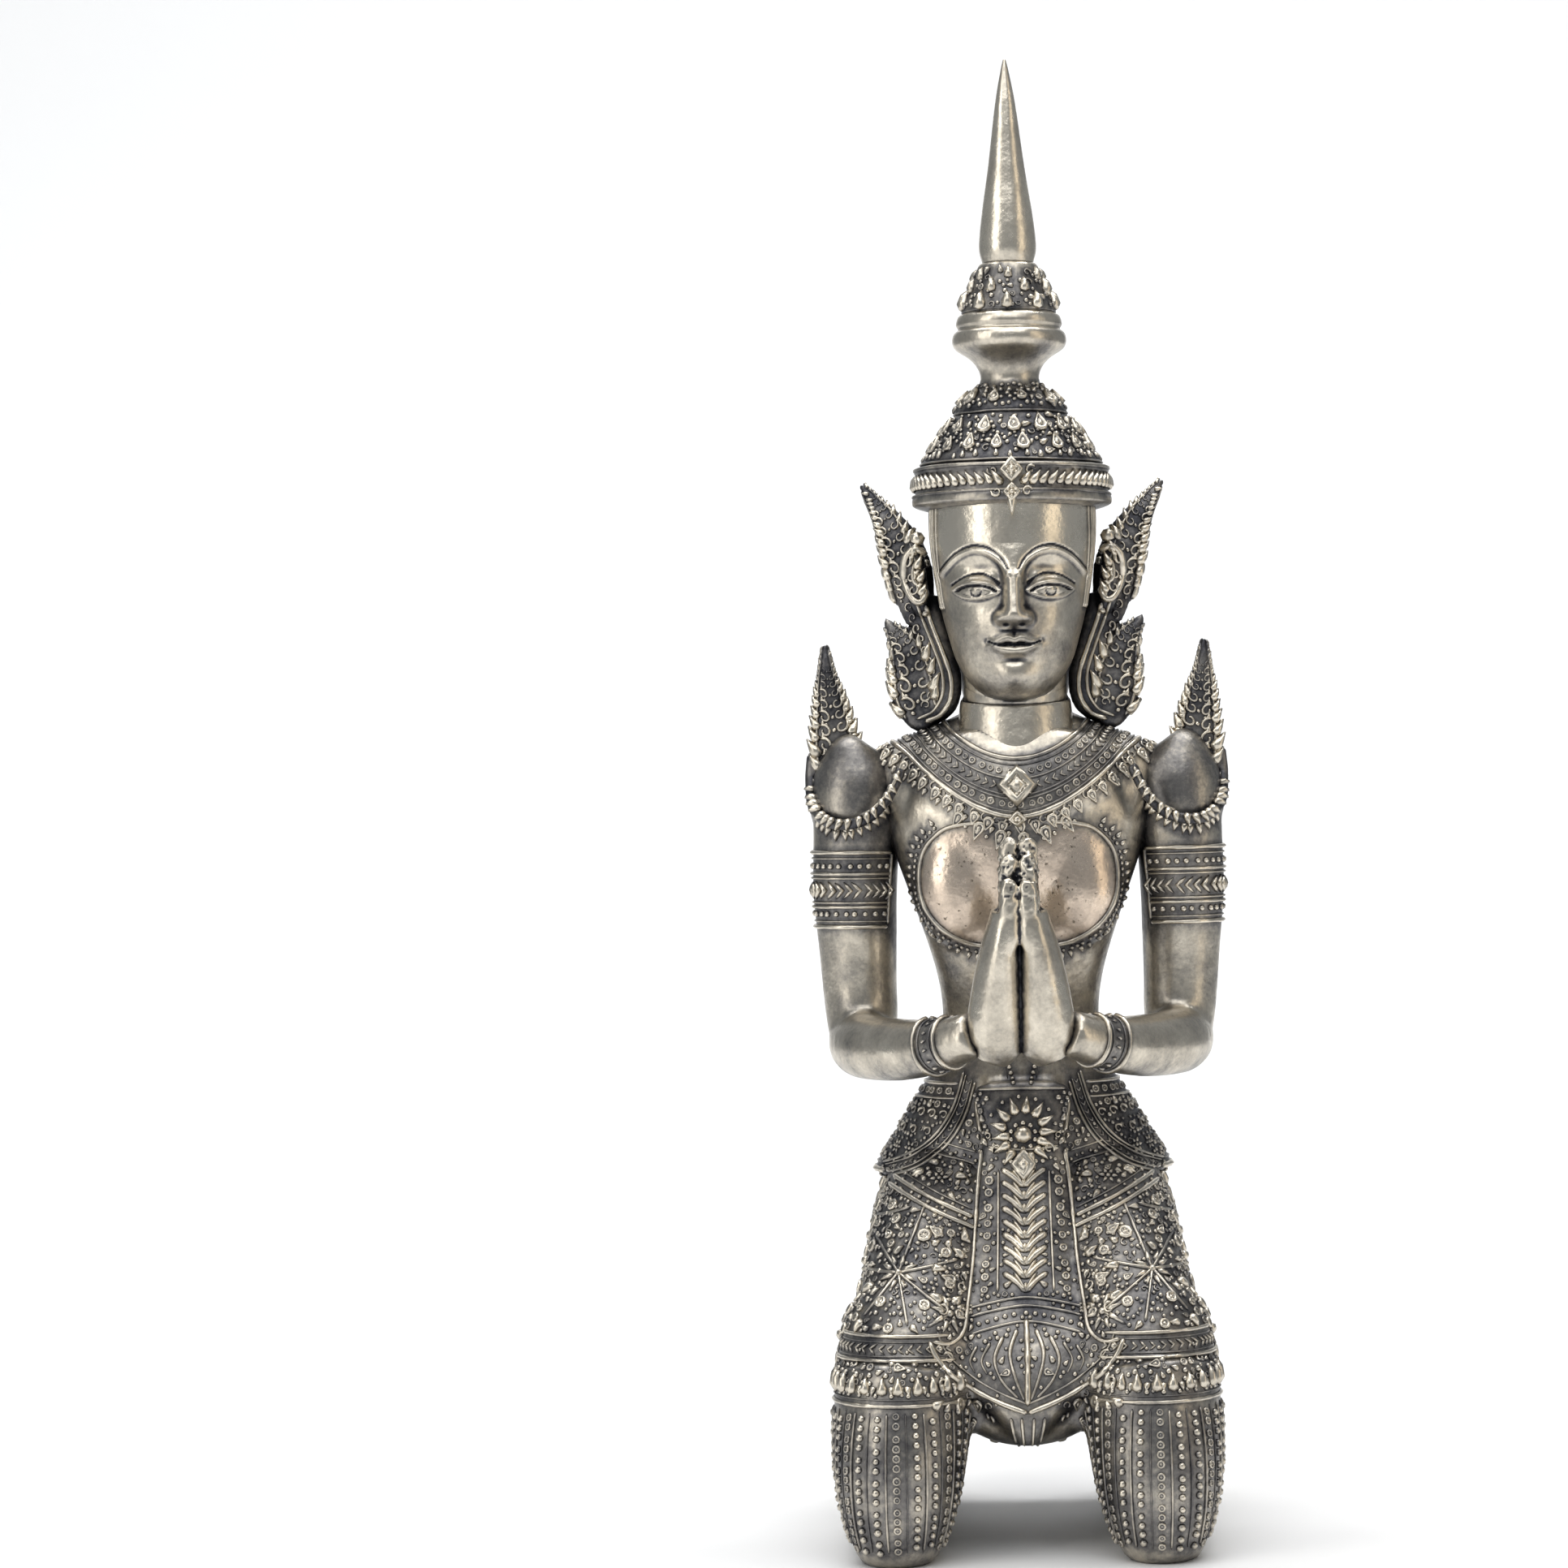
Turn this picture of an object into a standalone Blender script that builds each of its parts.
# A kneeling Thepphanom, the angel of respect, cast in one piece in silvered bronze.
# It faces -Y with its palms together, and its knees, shins and toes rest on z = 0.
# Lengths are in metres.
import bmesh
import bpy
from mathutils import Matrix, Vector

# Driving sizes
FIGURE_HEIGHT = 0.400     # from the ground to the tip of the spire
KNEE_SPREAD = 0.069       # between the middles of the knees
ELBOW_SPREAD = 0.087      # between the middles of the elbows
SPIRE_LENGTH = 0.0555     # the smooth spike above the leaf cone
FLAME_THICKNESS = 0.0042  # of the flames at the ears and on the shoulders
BAND_THICKNESS = 0.0012   # how far armbands and bracelets stand off the skin
REST_DEPTH = 0.0012       # how deep the resting flats cut into knees, shins and toes

# The free form keeps its proportions in four-hundredths of the figure's height.
SHARE = FIGURE_HEIGHT / 400
RING_SIDES = 28
STEPS_BETWEEN = 4
FACETS = 9300             # triangles of the finished solid
GRAIN = 1.05 * SHARE      # cell size at which the overlapping forms are fused
SOFTENING_ROUNDS = 4

KNEE_X = KNEE_SPREAD / 2 / SHARE
ELBOW_X = ELBOW_SPREAD / 2 / SHARE
FLAME = FLAME_THICKNESS / 2 / SHARE
BAND = BAND_THICKNESS / SHARE
REST = REST_DEPTH / SHARE
SPIRE_FOOT = 400 - SPIRE_LENGTH / SHARE

# Every form is a row of rings: x, y, z of the middle, half width, half depth, in shares.
TRUNK = [
    (0, 14, 42, 15, 20), (0, 14, 54, 24, 30), (0, 12, 66, 31, 34), (0, 9, 80, 35, 33),
    (0, 6, 94, 35, 28), (0, 4, 106, 31.5, 22.5), (0, 3, 118, 27.3, 18.5),
    (0, 2, 128, 23.6, 16), (0, 2, 136, 21.6, 14.6), (0, 1.5, 144, 21.6, 14.8),
    (0, 1, 152, 23, 16), (0, 0.5, 162, 26, 17.8), (0, 0, 172, 29.5, 19.4),
    (0, -0.5, 182, 33, 20.5), (0, -0.5, 192, 36, 20), (0, 0.5, 200, 38.5, 18.5),
    (0, 1.5, 207, 40, 15.5), (0, 2.5, 212, 39, 12.5), (0, 3, 216, 34, 10.5),
    (0, 3, 220, 24, 9.5), (0, 2.5, 224, 15, 11),
]
BUTTOCK = [
    (21, 29, 41, 9, 9), (21, 29, 48, 17, 18), (20, 28, 62, 22, 23.5),
    (18, 23, 80, 21, 20.5), (15, 17, 96, 17, 17), (12, 12, 106, 10, 10),
]
LAP = [
    (0, 20, 62, 20, 25), (0, 0, 60, 22, 26), (0, -20, 52, 21, 22),
    (0, -36, 44.5, 19, 15.5), (0, -47, 41.5, 17, 12), (0, -51, 41.5, 13, 8),
]
HAM = [
    (KNEE_X - 1.5, -38, 31, 14, 11), (KNEE_X - 3.5, -16, 37.5, 16, 14.5),
    (KNEE_X - 7, 6, 46, 18, 17), (KNEE_X - 11, 24, 54, 17, 17),
]
KNEE = [
    (KNEE_X - 0.5, -50, -1.2 - REST, 9, 10), (KNEE_X, -51.5, 4 - REST, 13, 14.5),
    (KNEE_X, -52.5, 11 - REST, 16.4, 18), (KNEE_X, -53, 20, 18, 19.6),
    (KNEE_X - 0.7, -50.5, 32, 18.6, 20), (KNEE_X - 2.5, -45, 46, 18.6, 20),
]
SHIN = [
    (KNEE_X, -50, 16 - REST, 16, 16), (KNEE_X, -20, 16.2 - REST, 16.5, 16.5),
    (KNEE_X - 0.5, 8, 17 - REST, 14.5, 15), (KNEE_X - 1.5, 30, 20, 11.5, 12),
    (KNEE_X - 1.5, 44, 25, 9.5, 10.5), (KNEE_X - 1.5, 51, 29, 7, 8),
]
FOOT = [
    (KNEE_X - 1.5, 49, 46, 4, 4), (KNEE_X - 1.5, 51, 41, 8, 7.4),
    (KNEE_X - 1, 51, 30, 9, 8.6), (KNEE_X - 0.5, 53, 18, 10, 8),
    (KNEE_X, 55, 9, 11.5, 8), (KNEE_X, 54, 3 - REST, 12, 9), (KNEE_X, 52, -1 - REST, 11, 8),
]
TOES = [
    (KNEE_X, 58, 3.4 - REST, 11.3, 4.6), (KNEE_X, 46, 3 - REST, 12, 4.2),
    (KNEE_X, 38, 2.4 - REST, 11, 3.6), (KNEE_X, 34, 2 - REST, 8, 2.8),
]
PANEL = [
    (0, -17, 119, 10, 3.4), (0, -21.5, 107, 11.4, 4.4), (0, -25.5, 93, 13, 4.8),
    (0, -31.5, 79, 14.4, 5.2), (0, -39, 65.5, 16.5, 5.6), (0, -46.5, 55, 25, 5.4),
    (0, -51, 45.5, 20, 6), (0, -54, 37.5, 10.5, 5.2), (0, -55, 30, 4.5, 3.8),
    (0, -55, 26, 1.2, 1.4),
]
PEPLUM = [
    (0, 2.5, 121, 26.4, 18.2), (0, 4, 116, 29.8, 21), (0, 5.5, 106, 35.8, 26),
    (0, 7, 99.5, 39.8, 29), (0, 7.5, 97, 40.8, 30.2), (0, 7.5, 95.8, 38.8, 28.5),
]
BACK_SASH = [
    (0, 17, 119, 8, 3), (0, 27, 107, 9.5, 4), (0, 35, 94, 10.5, 5), (0, 43.5, 79, 11.5, 6.5),
    (0, 47, 65, 11.5, 7.5), (0, 44.5, 52, 10.5, 7), (0, 39, 43, 7, 5),
]
UPPER_ARM = [
    (42, 2.5, 213, 7, 7), (43, 2.5, 208, 11, 11), (43.5, 3, 198, 12.2, 12.2),
    (44.3, 3, 186, 11.8, 12), (44.8, 4, 173, 11.5, 11.6), (44.4, 5, 160, 10.8, 11),
    (ELBOW_X + 0.5, 5, 148, 10.2, 10.4), (ELBOW_X, 4, 139, 9.8, 10), (ELBOW_X, 2, 132, 8.6, 8.6),
]
FOREARM = [
    (ELBOW_X - 0.4, 7, 133.5, 6.6, 6.6), (ELBOW_X, 1, 132.5, 9.2, 9.2),
    (ELBOW_X - 3, -12, 131.8, 8.8, 8.8), (33, -24, 131.8, 8.4, 8.4),
    (25, -35, 132.8, 7.4, 7.6), (18.5, -43, 134.5, 6.4, 6.8), (12, -48, 137, 5.5, 6.5),
]
HAND = [
    (8, -47, 130.5, 4.5, 5), (7, -48, 137, 6.6, 7.8), (5.6, -49, 147, 5.9, 8.2),
    (4.3, -50, 157, 4.6, 7.8), (3.3, -51, 166, 3.6, 7.2), (2.9, -51.5, 175, 3.1, 6),
    (2.7, -52, 183, 2.9, 4.2), (2.6, -52, 189, 2.2, 2.2),
]
HEAD = [
    (0, -11.5, 224.5, 4, 4.5), (0, -10, 226.5, 8.6, 9.8), (0, -7.8, 230.5, 12.6, 14.8),
    (0, -5, 236, 15.8, 18.8), (0, -2.8, 243, 18, 21.7), (0, -1.2, 250, 19.8, 23.6),
    (0, 0, 258, 21.2, 24.8), (0, 0.5, 266, 22.3, 25.3), (0, 1, 274, 22.8, 25.3),
    (0, 1, 282, 22, 24.5), (0, 1, 290, 18, 20),
]
NOSE = [
    (0, -24.2, 264, 1.6, 1.4), (0, -26.2, 256, 2, 2.4), (0, -28.3, 249, 2.9, 2.9),
    (0, -27.6, 246, 3.4, 2.4), (0, -24, 244.5, 2, 1.6),
]
NAPE = [
    (0, 7, 226, 12, 9), (0, 9, 238, 16, 14), (0, 9, 250, 19, 17), (0, 6, 262, 21.5, 20),
    (0, 3, 274, 23, 22.5), (0, 1, 284, 22, 22),
]
NECK = [
    (0, 1, 203, 17, 15), (0, 0, 210, 15.4, 14.6), (0, -0.5, 217, 15, 14.2),
    (0, -1, 221, 13.8, 13.6), (0, -2, 232, 13.6, 13.6), (0, -2, 240, 13, 13),
]
EAR = [
    (24, 1, 248, 1.6, 2), (25, 0.5, 252, 2.8, 3.6), (26, 0.5, 259, 3.2, 4.6),
    (26, 1, 265, 2.4, 3.4), (25.5, 1, 267.5, 1.2, 1.6),
]
EAR_FLAME = [
    (25, 5, 248, 4, FLAME), (27.5, 6.5, 257, 6.6, FLAME), (30.5, 8.2, 266, 6, FLAME),
    (34.5, 10.2, 274.5, 4.5, FLAME * 0.9), (38.8, 12, 281.5, 2.6, FLAME * 0.7),
    (42.6, 13.6, 287.4, 0.6, 0.6),
]
JAW_FLAME = [
    (22, 2, 224, 3.4, FLAME), (27, 3.2, 222, 5.6, FLAME * 1.2), (31.2, 5, 227, 6.4, FLAME * 1.1),
    (34, 6.4, 234.5, 4.8, FLAME), (36.2, 7.6, 241.5, 2.9, FLAME * 0.8), (38.2, 8.8, 248.6, 0.6, 0.6),
]
JAW_STRAP = [
    (25, 3, 254, 3.6, FLAME), (24.4, 3, 246, 4.4, FLAME * 1.1), (22.4, 2.6, 238, 4, FLAME * 1.1),
    (20.6, 2, 231, 3.6, FLAME * 1.1), (21.4, 2.2, 225, 3.6, FLAME * 1.1), (25, 3, 221.6, 3, FLAME),
]
SHOULDER_FLAME = [
    (49.3, 3, 206, 7.2, FLAME * 1.3), (49.6, 3.4, 213.5, 7, FLAME * 1.1),
    (50, 4, 221, 5.7, FLAME), (50.2, 4.5, 229, 3.8, FLAME * 0.9),
    (50.3, 5, 236, 2.1, FLAME * 0.7), (50.4, 5.6, 242.6, 0.6, 0.6),
]
SHOULDER_CAP = [
    (40, 1.5, 215, 6, 7), (42, 2, 211.5, 10.5, 11), (43.6, 2.2, 204.5, 12.6, 13.6),
    (44.2, 2.2, 198, 12.9, 14), (44.4, 2.4, 193.5, 12.4, 13.2),
]
SHOULDER_RIM = [
    (31, -15.5, 207, 1.8, 1.8), (35, -15.8, 199, 1.8, 1.8), (41, -14.6, 193.6, 1.8, 1.8),
    (49, -11.5, 192.2, 1.8, 1.8), (55, -4.5, 196, 1.8, 1.8), (56.4, 2.5, 204, 1.8, 1.8),
    (56, 3.6, 211, 1.6, 1.6),
]
ARMBAND = [
    (44.8, 3.8, 183.5, 11.7, 11.8), (44.8, 3.8, 183, 11.6 + BAND, 11.8 + BAND),
    (44.7, 4.5, 164.5, 11.3 + BAND, 11.5 + BAND), (44.6, 4.6, 164, 11, 11.2),
]
BRACELET = [
    (22.6, -38.3, 133.5, 7, 7.2), (22, -39, 133.7, 6.9 + BAND, 7.2 + BAND),
    (17.5, -43.8, 135, 6.3 + BAND, 6.9 + BAND), (17, -44.4, 135.2, 6, 6.6),
]
THIGH_CUFF = [
    (27.5, -32, 57, 21.4, 20.6), (28.6, -34.2, 54.2, 22.2, 21.6), (30.6, -39, 47.5, 21.4, 21.2),
    (31.8, -42, 43, 19.6, 19.6),
]
BELT_PLATE = [
    (0, -17.2, 120.6, 12.8, 3.4), (0, -17.8, 119.8, 13.4, 3.8), (0, -21.6, 107.2, 10.6, 4.2),
    (0, -22, 106, 9.8, 3.6),
]
PECTORAL = [
    (0, 1.2, 214, 24, 15), (0, 0.2, 210, 32, 18), (0, -0.4, 203, 35, 20.6),
    (0, -0.8, 196, 31, 21.8), (0, -1, 192, 24, 21.4),
]

# The turned crown, from its tip down. The spike and the leaf cone have the radius and the share
# of their own height of each corner, and the tiers the radius and the height.
CROWN_Y = 0.5
SPIKE_TIP = 401.2         # a little over 400, because softening takes that off the point
CONE_FOOT = 329.6
SPIKE = [
    (0.35, 1), (1.0, 0.933), (2.2, 0.767), (4.4, 0.45), (6.0, 0.247), (7.3, 0.115), (7.6, 0.055), (7.0, 0),
]
LEAF_CONE = [(7.6, 0.98), (10.2, 0.565), (12.7, 0.121), (12.3, 0.067)]
TIERS = [
    (13.7, CONE_FOOT), (14.3, 327.6),
    (15.4, 325), (15.4, 322.8), (14.4, 321), (11, 318.8), (8.7, 316), (8.0, 313), (9.2, 310.4),
    (11.4, 308.8), (13.6, 306.6), (15.4, 303.8), (14.7, 302.8), (16.6, 301), (19.7, 297),
    (22.5, 292.6), (24.4, 289.8), (24.3, 289), (26.1, 287.6), (27.2, 284), (26.8, 280.2),
    (25.4, 278), (21, 277.4),
]


def eased(rows, steps):
    """The rows with more between them, on one smooth curve through them all."""
    found = []
    last = len(rows) - 1
    for i in range(last):
        before, here, after, beyond = (rows[max(0, min(last, i + k))] for k in (-1, 0, 1, 2))
        for step in range(steps):
            t = step / steps
            found.append([
                0.5 * (2 * b + (c - a) * t + (2 * a - 5 * b + 4 * c - d) * t ** 2
                       + (3 * b - a - 3 * c + d) * t ** 3)
                for a, b, c, d in zip(before, here, after, beyond)
            ])
    return found + [list(rows[last])]


def ring_places(rows, across):
    """One matrix for each row, which takes the unit circle to that ring."""
    middles = [Vector(row[:3]) for row in rows]
    places = []
    for i, row in enumerate(rows):
        ahead = middles[min(i + 1, len(rows) - 1)] - middles[max(i - 1, 0)]
        ahead.normalize()
        side = (across - across.dot(ahead) * ahead).normalized()
        turn = Matrix((side, ahead.cross(side), ahead)).transposed().to_4x4()
        size = Matrix.Diagonal((max(row[3], 0.2), max(row[4], 0.2), 1, 1))
        places.append(Matrix.Scale(SHARE, 4) @ Matrix.Translation(middles[i]) @ turn @ size)
    return places


def loft(body, rows, across=(1, 0, 0), steps=STEPS_BETWEEN, sides=RING_SIDES):
    """Adds a closed form whose skin runs through the rings."""
    places = ring_places(eased(rows, steps), Vector(across))
    form = bmesh.new()
    bmesh.ops.create_circle(form, cap_ends=True, radius=1, segments=sides, matrix=places[0])
    form.faces.ensure_lookup_table()
    cap = form.faces[0]
    for step, (here, there) in enumerate(zip(places, places[1:])):
        made = bmesh.ops.extrude_face_region(form, geom=[cap], use_keep_orig=step == 0)
        cap = next(part for part in made["geom"] if isinstance(part, bmesh.types.BMFace))
        moved = [part for part in made["geom"] if isinstance(part, bmesh.types.BMVert)]
        bmesh.ops.transform(form, matrix=there @ here.inverted(), verts=moved)
    bmesh.ops.recalc_face_normals(form, faces=form.faces)
    shape = bpy.data.meshes.new("form")
    form.to_mesh(shape)
    form.free()
    body.from_mesh(shape)
    bpy.data.meshes.remove(shape)


def mirrored(rows):
    return [(-row[0], *row[1:]) for row in rows]


def pair(body, rows, **how):
    """The same form on the figure's left and right."""
    loft(body, rows, **how)
    loft(body, mirrored(rows), **how)


def thigh_rows():
    """The thigh runs from the hip down and forward to the knee."""
    hip_x = 14
    shares_out = (0, 0.25, 0.5, 0.75, 0.93, 1)
    sections = [(12, 94, 22, 22), (-4, 84, 23.5, 23), (-20, 69, 23, 22), (-35, 52, 21, 20.5),
                (-47, 36, 19, 19), (-53, 24, 17, 17)]
    return [(hip_x + share * (KNEE_X - hip_x), *section)
            for share, section in zip(shares_out, sections)]


def shape_legs(body):
    for rows in (thigh_rows(), HAM, KNEE, BUTTOCK, SHIN, FOOT, TOES):
        pair(body, rows)
    pair(body, THIGH_CUFF, steps=2)
    loft(body, LAP)


def shape_trunk(body):
    loft(body, TRUNK, sides=40)
    loft(body, PECTORAL, sides=40)
    loft(body, NECK)
    loft(body, PEPLUM, sides=40, steps=2)
    loft(body, BELT_PLATE, steps=1)
    loft(body, PANEL)
    loft(body, BACK_SASH)


def shape_arms(body):
    for rows in (UPPER_ARM, FOREARM, HAND, SHOULDER_CAP):
        pair(body, rows)
    pair(body, SHOULDER_RIM, sides=10)
    pair(body, ARMBAND, steps=1)
    pair(body, BRACELET, steps=1)


def shape_head(body):
    loft(body, HEAD, sides=40)
    loft(body, NAPE, sides=36)
    loft(body, NOSE, sides=14)
    pair(body, EAR, sides=14)
    pair(body, EAR_FLAME)
    pair(body, JAW_FLAME)
    pair(body, JAW_STRAP)
    pair(body, SHOULDER_FLAME)


def shape_crown(body):
    spike = [(radius, SPIRE_FOOT + share * (SPIKE_TIP - SPIRE_FOOT)) for radius, share in SPIKE]
    cone = [(radius, CONE_FOOT + share * (SPIRE_FOOT - CONE_FOOT)) for radius, share in LEAF_CONE]
    for corners, steps in ((spike, STEPS_BETWEEN), (cone + TIERS, 1)):
        rings = [(0, CROWN_Y, height, radius, radius) for radius, height in corners]
        loft(body, rings, steps=steps, sides=40)


def silvered_bronze():
    finish = bpy.data.materials.new("silvered_bronze")
    finish.use_nodes = True
    shader = finish.node_tree.nodes["Principled BSDF"]
    shader.inputs["Base Color"].default_value = (0.60, 0.575, 0.52, 1)
    shader.inputs["Metallic"].default_value = 1.0
    shader.inputs["Roughness"].default_value = 0.33
    return finish


def ground_cutter():
    """A block whose top is the ground, which flattens knees, shins and toes."""
    reach = 2 * FIGURE_HEIGHT
    depth = 0.05
    bpy.ops.mesh.primitive_cube_add(size=1, location=(0, 0, -depth / 2))
    block = bpy.context.object
    block.name = "ground_cutter"
    block.scale = (reach, reach, depth)
    block.display_type = "WIRE"
    block.hide_render = True
    return block


def evaluated_mesh(thing):
    graph = bpy.context.evaluated_depsgraph_get()
    graph.update()
    return thing.evaluated_get(graph).to_mesh()


def fuse(figure):
    """One skin over all the overlapping forms, softened like a wax and then faceted."""
    skin = figure.modifiers.new("fuse", "REMESH")
    skin.mode = "VOXEL"
    skin.voxel_size = GRAIN
    soften = figure.modifiers.new("soften", "SMOOTH")
    soften.factor = 0.5
    soften.iterations = SOFTENING_ROUNDS
    skin_faces = len(evaluated_mesh(figure).polygons)
    thin = figure.modifiers.new("facet", "DECIMATE")
    thin.ratio = FACETS / (2 * skin_faces)
    cut = figure.modifiers.new("rest_flats", "BOOLEAN")
    cut.operation = "DIFFERENCE"
    cut.solver = "EXACT"
    cut.object = ground_cutter()


def stand(figure):
    """Puts the middle of the figure's box on x = 0, y = 0; its resting flats are on z = 0."""
    corners = [vertex.co for vertex in evaluated_mesh(figure).vertices]
    low_y = min(corner.y for corner in corners)
    high_y = max(corner.y for corner in corners)
    figure.location.y = -(low_y + high_y) / 2


def main():
    for thing in list(bpy.data.objects):
        bpy.data.objects.remove(thing, do_unlink=True)
    body = bmesh.new()
    shape_legs(body)
    shape_trunk(body)
    shape_arms(body)
    shape_head(body)
    shape_crown(body)
    mesh = bpy.data.meshes.new("figure")
    body.to_mesh(mesh)
    body.free()
    figure = bpy.data.objects.new("figure", mesh)
    bpy.context.collection.objects.link(figure)
    mesh.materials.append(silvered_bronze())
    fuse(figure)
    stand(figure)


main()
